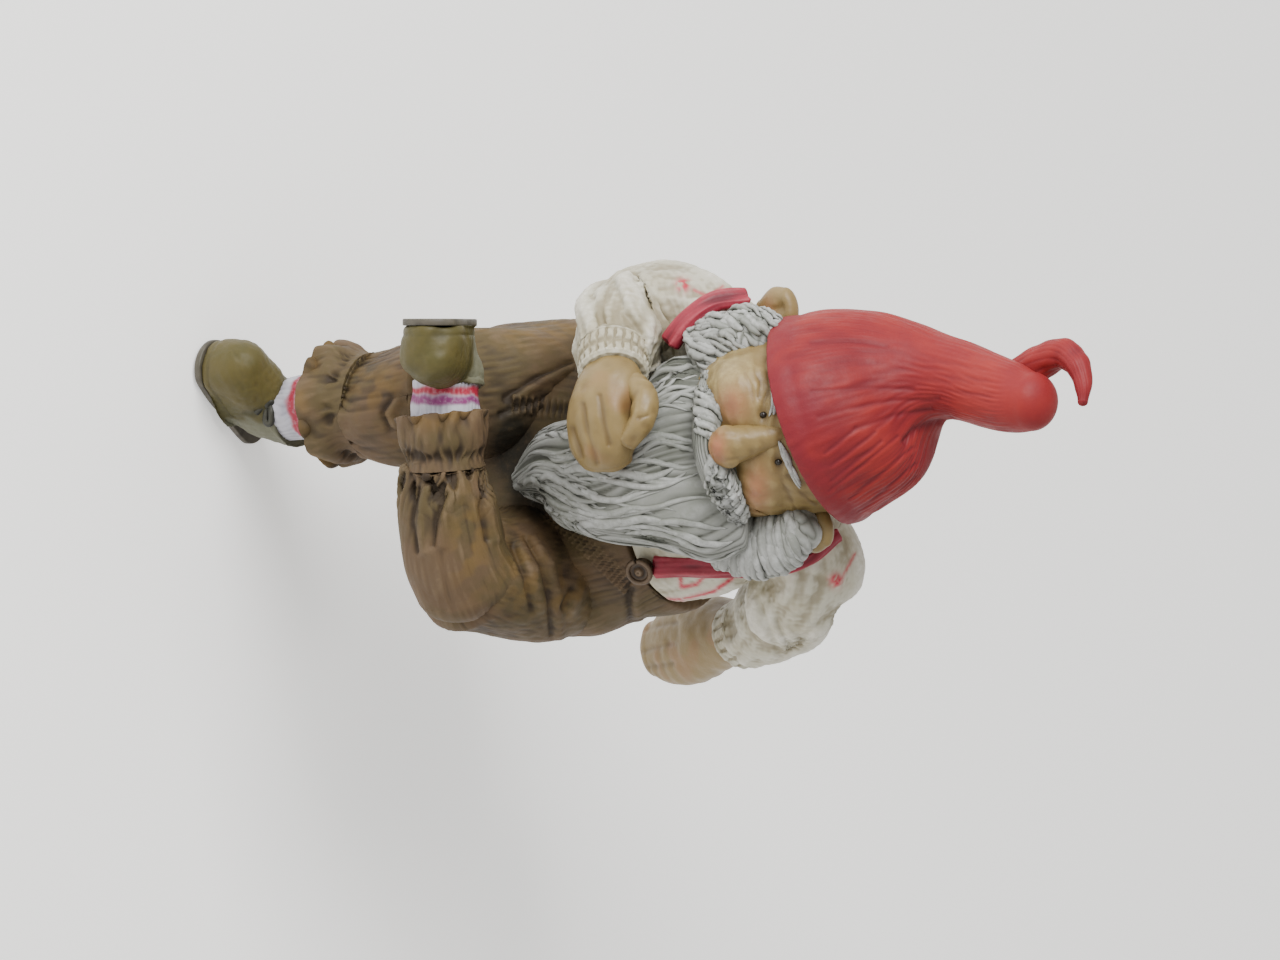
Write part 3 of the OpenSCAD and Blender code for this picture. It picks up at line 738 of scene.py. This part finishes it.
# Hands: smooth backs with carved fingers.
hands = {
    "rightHand": {
        "node": "right_hand", "ref": (0, 0, 1), "dome": (0, 1.6), "seed": 131,
        "stations": [[-15.2, -25, 43.2, 4.4, 4.6], [-13, -26.8, 44, 5, 5.8], [-8.6, -28.6, 44.2, 5.2, 6.4],
                     [-4, -28.6, 43.8, 4.6, 5.8], [-1.6, -27.6, 43.6, 3.4, 4.6]],
        "depth": 0.32, "grooves": [[(-11.7, 16.4), (-8, 16.9), (-4, 17.9)],
                                   [(-10.4, 13.6), (-6, 14.4), (-1, 16)], [(-6.5, 12), (-2, 13.4)]],
        "knuckles": [(-4.6, 19.8), (-3.4, 17), (-2.8, 14.6)], "hollow": (-9.4, 21.6, 2.6, 1.4)},
    "leftHand": {
        "node": "left_hand", "ref": (0, 1, 0), "dome": (0, 3), "seed": 132,
        "stations": [[25.8, 26, 29.6, 4.8, 4.2], [26.2, 28.8, 22.6, 6, 4.2], [27.4, 32.2, 15, 6.8, 4.2],
                     [28.3, 34.8, 8.6, 6.2, 3.6], [28.7, 36, 4.2, 4.6, 2.4]],
        "depth": 0.22, "grooves": [[(24.4, 28.6), (25, 25.6), (26, 22.6)],
                                   [(27.8, 28), (28.6, 25), (29.4, 22.8)],
                                   [(31, 28), (31.4, 26), (31.8, 23.6)]],
        "knuckles": [(25.4, 30.4), (28.6, 30)], "hollow": (21.6, 36, 1.4, 2.6)},
}
thumb = {"stations": [[-14, -26.2, 46.6, 2.4, 2.5], [-11.6, -27.4, 51.2, 2.1, 2.3],
                      [-7.8, -28.8, 51.8, 2, 2.2], [-4.6, -29.6, 49.6, 1.7, 1.8]],
         "nail": (-5.2, 21.6)}


def makeHand(name):
    spec = hands[name]
    g = sweep(spec["stations"], ref=spec["ref"], dome=spec["dome"], size=(180, 130))
    for x, h in spec["knuckles"]:
        carve(g, 0.3 * spot(g, x, h, 1.9, 1.2), 2)
    for line in spec["grooves"]:
        carve(g, -spec["depth"] * stroke(g, line, 0.45), 0.45)
    carve(g, -0.8 * spot(g, *spec["hollow"]), 1.6)
    carve(g, 0.04 * wobble(g["pos"], 3, spec["seed"]), 0.4)
    g["one"] = 0.16 * smooth(0.2, 1.4, wobble(g["pos"], 7, spec["seed"] + 1))
    # Painted shade: dark paint in the hollow of the hand.
    g["two"] = 0.5 * spot(g, *spec["hollow"])
    build(name, [g], paints["skin"], spec["node"])


def makeThumb():
    g = sweep(thumb["stations"], ref=(0, 1, 0), size=(120, 110))
    x, h = thumb["nail"]
    carve(g, -0.16 * spot(g, x, h, 1.1, 0.9), 0.5)
    carve(g, -0.18 * stroke(g, [(x - 3.4, h + 2.4), (x - 3, h + 1)], 0.3), 0.3)
    carve(g, 0.04 * wobble(g["pos"], 2, 141), 0.2)
    build("rightThumb", [g], paints["skin"], "right_thumb")


for name in hands:
    makeHand(name)
makeThumb()
print("hands made")

# Braces with edge ridges, and the ringed button.
braces = {
    "rightBrace": ("right_brace", (0.6, 1, -0.2), [[-27.2, -7, 55.6], [-26.6, -11.4, 52.8],
                                                   [-23.8, -14.8, 50.2], [-20.4, -16, 47.6]]),
    "leftBrace": ("left_brace", (0, 1, 0.3), [[10.4, 6.6, 63], [13.4, 2.2, 61.4], [15.1, -2.4, 57.2],
                                              [15.3, -6.2, 50.2], [15.3, -8.2, 44.2], [15.4, -9.9, 40]]),
}


def makeBrace(name):
    node, hold, points = braces[name]
    g = sweep([[*p, 1.9, 1.2] for p in points], ref=hold, dome=(0.4, 0.4), size=(90, 130))
    across = np.abs(np.cos(g["theta"]))
    carve(g, 0.22 * np.exp(-((across - 0.62) / 0.16) ** 2) - 0.12 * np.exp(-(across / 0.2) ** 2), 0.25)
    carve(g, 0.07 * wobble(g["flat"] * [1, 1, 0.3], 2, 151), 0.2)
    build(name, [g], paints["braceRed"], node)


button = {"centre": (15.7, -10.9, 37.8), "axis": (0.42, -0.87, 0.26), "radius": 1.9, "ring": 0.42,
          "count": 49}


def makeButton():
    c = np.array(button["centre"])
    axis = unit(np.array(button["axis"]))
    disc = [[*(c - axis * 1.2), 1.6, 1.6], [*(c + axis * 1.2), 1.6, 1.6]]
    g = sweep(disc, ref=(0, 0, 1), dome=(0, 0.3), size=(80, 12), edge=18)
    away = np.linalg.norm(np.cross(g["pos"] - c, axis), axis=-1)
    carve(g, 0.3 * np.exp(-((away - 0.35) / 0.3) ** 2) - 0.2 * np.exp(-((away - 1.0) / 0.25) ** 2), 0.25)
    s = np.linspace(0, turn, button["count"])
    across, over = unit(np.cross(axis, [0, 0, 1.0])), unit(np.cross(axis, np.cross(axis, [0, 0, 1.0])))
    ring = c + axis * 1.3 + button["radius"] * (across * np.cos(s)[:, None] + over * np.sin(s)[:, None])
    width = np.full(button["count"], button["ring"])
    width[[0, -1]] = 0
    rim = strand(ring, np.tile(axis, (button["count"], 1)), width, width)
    build("braceButton", [g, rim], paints["buttonBrown"], "brace_button")


for name in braces:
    makeBrace(name)
makeButton()
print("braces made")

# Breeches: seat, thighs, knee and shin, rumpled towards the gathers.
# Painted shade: near-black spots on the breeches under the beard, between the thighs (x, h, half width, half
# height).
lapShade = [(-3.6, 2.6, 5.4, 3.4), (0.6, 4.4, 5, 2.8), (4.6, 6.6, 3, 2)]
stitches = [((18.7, 21.1), (4.6, 6.6), 24), ((-9.6, 10.6), (-10.6, 2.6), 9)]
ochre = [(-22.6, 6, 3, 9), (16, 4.6, 7, 3.6), (20, 12, 5, 4), (11, -4, 8, 3.4), (-13, -19, 5, 5),
         (-5.6, -14.4, 2.4, 4)]
trousers = {
    "seat": {
        "node": "breeches_seat", "ref": (0, 1, 0), "dome": (0, 0), "size": (330, 170), "seed": 161,
        "stations": [[1, 4, 0, 21.6, 17], [1, 4, 3, 23.4, 18.4], [1, 3, 10, 25, 19.4], [1, 2.4, 17, 25.4, 19],
                     [1, 2, 24, 24, 18], [1, 2, 30, 22.4, 17], [0.6, 2, 34, 21.2, 16.2]],
        "folds": [[(17.8, 21.1), (20, 21), (24.6, 21.4)], [(-26, 9), (-22, 12), (-19, 16)]]},
    "rightThigh": {
        "node": "right_thigh", "ref": (0, 0, 1), "dome": (1, 4.3), "size": (200, 130), "seed": 164,
        "stations": [[-13, 2, 13.4, 11, 12], [-13, -6, 12.2, 11.2, 12], [-12.4, -14, 10.4, 10.8, 10.6],
                     [-11.6, -21, 7.4, 10.2, 10]],
        "folds": [[(-17, 12), (-14.6, 6.6), (-11.4, 1.4)], [(-12.6, 11), (-10.6, 6), (-8.8, 0.6)],
                  [(-14.4, 13.4), (-13, 9.6)]]},
    "rightKnee": {
        "node": "right_knee", "ref": (0, 1, 0), "dome": (5, 0), "size": (210, 110), "seed": 167,
        "stations": [[-11, -24.4, 5.4, 9.9, 9.5], [-10.5, -26, 0, 9.5, 9.1], [-10.5, -26, -5.4, 8.4, 8.2]],
        "folds": [[(-12, -13.4), (-11.4, -16.6), (-9, -18.2), (-6.6, -17), (-6, -14)]]},
    "leftThigh": {
        "node": "left_thigh", "ref": (0, 0, 1), "dome": (1, 4), "size": (210, 130), "seed": 170,
        "stations": [[14, 2, 14, 12, 12], [15, -6, 14.6, 12, 11.8], [16.2, -14, 15, 11, 11.2],
                     [17, -22, 15.6, 9.8, 10.2], [17, -28, 16, 8.7, 9]],
        "folds": [[(11, 4.6), (15, 7.2), (20, 8.4), (26.6, 8.8)], [(12, 2.6), (17, 4.6), (22, 5.6)],
                  [(19, 12), (22, 10.6)]]},
    "leftShin": {
        "node": "left_shin", "ref": (0, 0, 1), "dome": (5, 0), "size": (230, 150), "seed": 173,
        "stations": [[17.4, -28, 16, 8.6, 8.6], [13, -31, 16.2, 8.2, 8.2], [6, -33.8, 16.6, 7.6, 7.7],
                     [-0.6, -35, 17, 6.4, 6.4]],
        "folds": [[(2, -1.6), (6, -2.4), (11, -1.4)], [(3, -12.4), (8, -13.4), (13, -12.6)],
                  [(4, -8), (8, -9.6), (12, -10)]]},
}


def makeTrouser(name):
    spec = trousers[name]
    g = sweep(spec["stations"], ref=spec["ref"], dome=spec["dome"], size=spec["size"])
    floorEase = smooth(0.2, 2.2, g["pos"][..., 2]) if name == "seat" else 1
    carve(g, 0.4 * wobble(g["flat"], 12, spec["seed"]) * floorEase, 1.6)
    carve(g, 0.06 * (crease(g["flat"] * [1, 1, 0.5], 6, spec["seed"] + 1) - 0.8) * floorEase, 0.24)
    carve(g, 0.03 * wobble(g["flat"] * [1.4, 1.4, 0.3], 1.3, spec["seed"] + 2) * floorEase, 0.15)
    if name == "leftShin":
        pull = smooth(0.5, 1, g["v"])
        pits = smooth(0.5, 1.1, wobble(g["flat"] * [1.2, 1.2, 0.7], 3, 8)) * smooth(0.72, 0.86, g["v"])
        gathers = np.abs(np.sin(g["theta"] * 8 + wobble(g["flat"], 6, 4) * 1.6)) ** 0.6 - 0.6
        carve(g, 0.4 * pull * gathers, 0.34)
        carve(g, -0.9 * pits * smooth(1.02, 0.98, g["v"]), 0.6)
    if name == "rightKnee":
        pull = smooth(0.55, 1, g["v"])
        carve(g, 0.35 * pull * (np.abs(np.sin(g["theta"] * 9 + wobble(g["flat"], 6, 5))) ** 0.6 - 0.6), 0.3)
    for line in spec["folds"]:
        x, h = np.array(line).T
        carve(g, -0.55 * stroke(g, line, 0.5) * floorEase, 0.5)
        carve(g, 0.5 * stroke(g, list(zip(x, h + 1.3)), 0.8) * floorEase, 1.1)
    for (x0, h0), (x1, h1), count in stitches:
        way = unit(np.array([x1 - x0, h1 - h0]))
        cross = np.array([-way[1], way[0]]) * 1.25
        for t in np.linspace(0, 1, count):
            at = np.array([x0, h0]) + t * np.array([x1 - x0, h1 - h0])
            carve(g, 0.42 * stroke(g, [tuple(at - cross), tuple(at + cross)], 0.22), 0.2)
        carve(g, -0.3 * stroke(g, [(x0, h0), (x1, h1)], 1.5), 0.3)
    # Painted shade under the beard, between the thighs.
    for x, h, wide, high in lapShade:
        g["one"] = np.maximum(g["one"], 0.92 * np.minimum(1.8 * spot(g, x, h, wide, high), 1))
    for x, h, wide, high in ochre:
        worn = smooth(-1, 1, wobble(g["pos"], 3, 7))
        g["two"] = np.maximum(g["two"], 0.45 * spot(g, x, h, wide, high) * worn)
    if name == "seat":
        g["pos"][..., 2] = np.maximum(g["pos"][..., 2], 0)
    build(name, [g], paints["breeches"], spec["node"])


frills = {
    "rightFrill": {"node": "right_frill", "ref": (0, 1, 0), "waves": 7, "wave": 0.8, "seed": 181,
                   "stations": [[-10.5, -26, -5, 8.2, 8], [-10.5, -26, -7.2, 8.4, 8.2],
                                [-10.5, -26, -9.6, 9.6, 9.2], [-10.5, -26, -12.8, 9.6, 9.4]]},
    "leftFrill": {"node": "left_frill", "ref": (0, 0, 1), "waves": 8, "wave": 0.6, "seed": 182,
                  "stations": [[-0.2, -35, 17, 6.3, 6.3], [-2, -35.2, 17, 6.2, 6.2],
                               [-5, -35.5, 17, 7, 7.2], [-9, -35.7, 16.7, 6.9, 7.2]]},
}


def makeFrill(name):
    # A flared band whose rim waves in and out: a sine of theta that grows towards the open end.
    spec = frills[name]
    g = sweep(spec["stations"], ref=spec["ref"], dome=(0, -2.2), size=(270, 84))
    flare = smooth(0.25, 1, g["v"])
    ruffle = np.sin(g["theta"] * spec["waves"] + wobble(g["flat"], 12, spec["seed"]) * 1.4)
    rim = smooth(-1.4, -0.2, -np.abs(g["v"] - 1) * 3)
    carve(g, spec["wave"] * ruffle * flare * np.where(g["v"] > 1.001, 0, 1), 1.3)
    pinch = np.exp(-((g["v"] - 0.3) / 0.12) ** 2)
    gather = np.abs(np.cos(g["theta"] * spec["waves"] * 1.5 + wobble(g["flat"], 5, 9) * 1.4))
    carve(g, -0.7 * pinch * gather ** 0.7 * smooth(-1.2, 0.6, wobble(g["flat"], 5, 12)), 0.55)
    carve(g, 0.03 * wobble(g["flat"] * [1.4, 1.4, 0.4], 1.4, spec["seed"] + 2), 0.14)
    g["two"] = 0.45 * rim * smooth(-0.6, 1.2, wobble(g["pos"], 5, 14))
    build(name, [g], paints["breeches"], spec["node"])


for name in trousers:
    makeTrouser(name)
for name in frills:
    makeFrill(name)
print("breeches made")

# Socks with two painted bands, boots with a welt, their soles and the lace knot.
socks = {
    "rightSock": ("right_sock", (0, 1, 0), [[-10.5, -26, -10, 5.3, 5.3], [-10.5, -26, -14, 5.3, 5.3],
                                            [-9.7, -25.6, -22, 5, 5]], (0.6, 0.2)),
    "leftSock": ("left_sock", (0, 0, 1), [[-5.2, -35, 17.1, 5.5, 5.5], [-9.4, -35, 17.1, 5.5, 5.5],
                                          [-14, -35, 17.1, 5.1, 5.1]], (0.84, 0.67)),
}


def makeSock(name):
    node, ref, stations, (first, second) = socks[name]
    g = sweep(stations, ref=ref, dome=(0, 0), size=(160, 90))
    carve(g, 0.12 * (np.abs(np.sin(g["theta"] * 16 + wobble(g["flat"], 5, 191))) ** 0.7 - 0.6), 0.25)
    carve(g, 0.12 * wobble(g["flat"], 4, 192), 0.5)
    edge = 0.02 * wobble(g["flat"], 3, 193)
    g["one"] = np.exp(-((g["v"] + edge - first) / 0.09) ** 4)
    g["two"] = np.exp(-((g["v"] + edge - second) / 0.08) ** 4)
    build(name, [g], paints["sockWhite"], node)


boot = {
    "stations": [[0, -11.6, 4.1, 4.2, 4.9], [0, -7, 4.3, 4.6, 4.8], [0, -3.4, 4.8, 5, 4.9],
                 [0, -1.2, 6.4, 5.2, 5.2], [0, -1.2, 8.2, 5.4, 5.4]],
    "middle": (-11.6, 4.1, 4.25), "bottom": -1.1, "soleThick": 1.1,
}
rightBootAt = Matrix.Translation((-8.4, -24.2, -29.8)) @ Matrix.Rotation(math.radians(-41), 4, "Z")
leftBootTurn = Matrix.Rotation(math.radians(-23), 4, "X") @ Matrix.Rotation(math.radians(90), 4, "Y")
leftBootAt = Matrix.Translation((-21.8, -33.2, 16.8)) @ leftBootTurn


def moved(grid, matrix):
    # The grid's points and pole directions turned and shifted by a matrix.
    m = np.array(matrix)
    grid["pos"] = grid["pos"] @ m[:3, :3].T + m[:3, 3]
    grid["ends"] = tuple(e @ m[:3, :3].T for e in grid["ends"])
    return grid


def makeBoot(name, node, matrix, seed):
    # Below its middle height the round section is widened back to an upright wall: x over the root of 1 -
    # drop squared.
    g = sweep(boot["stations"], ref=(1, 0, 0), dome=(4.8, 0), size=(160, 120))
    y0, z0, reach = boot["middle"]
    x, y, z = np.moveaxis(g["pos"], -1, 0)
    drop = np.clip((z0 - z) / reach, 0, 0.95)
    widen = np.maximum(1 - drop ** 2, 0.05) ** -0.47
    g["pos"][..., 0] = x * widen
    g["pos"][..., 1] = np.where(y < y0, y0 + (y - y0) * widen, y)
    g["pos"][..., 2] = np.where(z < z0, z0 - (z0 - z) * (z0 - boot["bottom"]) / (z0 - 0.15), z)
    g["pos"][..., 2] = np.maximum(g["pos"][..., 2], boot["bottom"])
    x, y, z = np.moveaxis(g["pos"], -1, 0)
    carve(g, -0.12 * np.exp(-((z - 0.4) / 0.3) ** 2), 0.3)
    carve(g, -0.22 * np.exp(-((y + 6.2) / 0.7) ** 2) * smooth(2, 5, z), 0.6)
    carve(g, 0.2 * np.exp(-((g["v"] - 0.97) / 0.03) ** 2), 1)
    carve(g, 0.14 * wobble(g["pos"], 6, seed), 1.2)
    carve(g, 0.03 * wobble(g["pos"], 1.4, seed + 1), 0.3)
    g["one"] = 0.6 * np.exp(-((y + 5.6 + 0.4 * wobble(g["pos"], 4, seed + 2)) / 1.2) ** 2) * smooth(1, 4, z)
    g["two"] = 0.7 * smooth(-5.4, -3.4, y + 0.5 * wobble(g["pos"], 4, seed + 3))
    g["pos"][..., 2] = np.maximum(g["pos"][..., 2], boot["bottom"])
    build(name, [moved(g, matrix)], paints["bootGreen"], node)


def makeSole(name, node, matrix, seed):
    # A flat slab: the outline of two discs and their tangents, filled from the middle and rounded at its rim.
    s = np.arange(200) / 200 * turn
    toe, heel, reach = 4.8, 4.2, 11.6
    blend = smooth(-0.5, 0.5, -np.sin(s))
    radius = heel + (toe - heel) * blend
    outline = np.stack([np.cos(s) * radius, np.sin(s) * radius - reach * blend], -1)
    outline[:, 0] *= 1 - 0.06 * np.exp(-((outline[:, 1] + 5.2) / 2.4) ** 2)
    low, thick = boot["bottom"], boot["soleThick"]
    size = np.r_[np.linspace(0, 0.97, 12), 0.99, 1, 1, 1, 0.99, np.linspace(0.97, 0, 12)]
    rim = [-thick + 0.05, -thick + 0.2, -thick / 2, -0.2, -0.05]
    level = low + np.r_[np.full(12, -thick), rim, np.zeros(12)]
    middle = np.array([0, -reach / 2])
    flat = middle + (outline - middle)[None] * size[:, None, None]
    pos = np.concatenate([flat, np.broadcast_to(level[:, None, None], (*flat.shape[:2], 1))], -1)
    ends = (np.array([0, 0, -1.0]), np.array([0, 0, 1.0]))
    v = np.repeat(np.linspace(0, 1, len(size))[:, None], 200, 1)
    relief = 0.3 * wobble(pos, 2, seed)
    g = {"pos": pos, "ends": ends, "v": v, "relief": relief, "one": np.zeros(v.shape),
         "two": np.zeros(v.shape)}
    build(name, [moved(g, matrix)], paints["soleBrown"], node)


lace = {
    "lines": [[[2.4, -6.2, 7.4], [1.2, -6.5, 8.2], [-0.2, -6.8, 8], [0.2, -6.9, 7], [2, -6.4, 7.2]],
              [[2.4, -6.2, 7.4], [3.8, -5.6, 8.2], [5, -4.4, 8], [4.8, -4.6, 7], [2.8, -6.1, 7.2]],
              [[2.4, -6.4, 7.3], [1.8, -6.9, 6.2], [1.4, -7.2, 5.4]],
              [[2.4, -6.4, 7.3], [3.6, -6.2, 6.2], [4.2, -5.9, 5.4]]],
    "width": 0.55,
}


def makeLace():
    shells = []
    for line in lace["lines"]:
        centre = curve([[*p, 0] for p in line], 40)[0]
        normal = np.tile(unit(np.array([0.4, -0.9, 0.4])), (40, 1))
        width = np.full(40, lace["width"])
        width[[0, -1]] = 0
        shells.append(moved(strand(centre[:, :3], normal, width, width), rightBootAt))
    knot = sweep([[2.1, -5.6, 7.3, 0.9, 1.1], [2.7, -6.7, 7.4, 0.9, 1.1]], ref=(0, 0, 1), dome=(0.2, 0.4),
                 size=(60, 8))
    shells.append(moved(carve(knot, 0.08 * wobble(knot["pos"], 0.9, 201), 0.2), rightBootAt))
    build("laceKnot", shells, paints["laceDark"], "boot_lace")


for name in socks:
    makeSock(name)
makeBoot("rightBoot", "right_boot", rightBootAt, 211)
makeBoot("leftBoot", "left_boot", leftBootAt, 212)
makeSole("rightSole", "right_boot_sole", rightBootAt, 213)
makeSole("leftSole", "left_boot_sole", leftBootAt, 214)
makeLace()
print("boots made")

# Stage: a pale floor under the hanging boot, a pale room and soft lights.
stage = {
    "floor": (244, 243, 240), "floorAt": -32.5, "glow": 0.5, "room": (1.0, 0.99, 0.97), "roomLight": 0.78,
    "lamps": {"key": ((-0.42, -0.26, 0.42), (0, 0, 0.04), 5.5, 0.35),
              "fill": ((0.4, -0.25, 0.25), (0, 0, 0.03), 0.2, 0.4)},
}
bpy.ops.mesh.primitive_plane_add(size=3, location=(0, 0, stage["floorAt"] * mm))
floor = bpy.context.object
floor.name = "floor"
ground = bpy.data.materials.new("ground")
ground.use_nodes = True
groundInputs = ground.node_tree.nodes["Principled BSDF"].inputs
groundInputs["Base Color"].default_value = tone(*stage["floor"])
groundInputs["Roughness"].default_value = 0.8
groundInputs["Emission Color"].default_value = (1, 1, 1, 1)
groundInputs["Emission Strength"].default_value = stage["glow"]
floor.data.materials.append(ground)
world = bpy.data.worlds.new("room")
bpy.context.scene.world = world
world.use_nodes = True
world.node_tree.nodes["Background"].inputs[0].default_value = (*stage["room"], 1)
world.node_tree.nodes["Background"].inputs[1].default_value = stage["roomLight"]
for label, (at, aim, watts, width) in stage["lamps"].items():
    lamp = bpy.data.lights.new(label, "AREA")
    lamp.energy = watts
    lamp.size = width
    holder = bpy.data.objects.new(label, lamp)
    holder.location = at
    away = np.array(at) - np.array(aim)
    z = unit(away)
    x = unit(np.cross([0, 0, 1.0], z))
    y = np.cross(z, x)
    holder.rotation_euler = Matrix(np.stack([x, y, z], 1).tolist()).to_euler()
    bpy.context.scene.collection.objects.link(holder)

# Camera: above the front, turned so that the figure lies on its side with the cap to the left.
shot = {"aim": (1.6, 14.0, 18.0), "away": 6000, "lens": 1055}
data = bpy.data.cameras.new("camera")
data.lens = shot["lens"]
data.sensor_width = 36
data.clip_start = 0.1
data.clip_end = 20
camera = bpy.data.objects.new("camera", data)
axes = np.stack([upPlane, np.array([-1.0, 0, 0]), towardEye], 1)
place = (np.array(shot["aim"]) + towardEye * shot["away"]) * mm
camera.matrix_world = Matrix.Translation(place.tolist()) @ Matrix(axes.tolist()).to_4x4()
bpy.context.scene.collection.objects.link(camera)
bpy.context.scene.camera = camera
print("stage set")
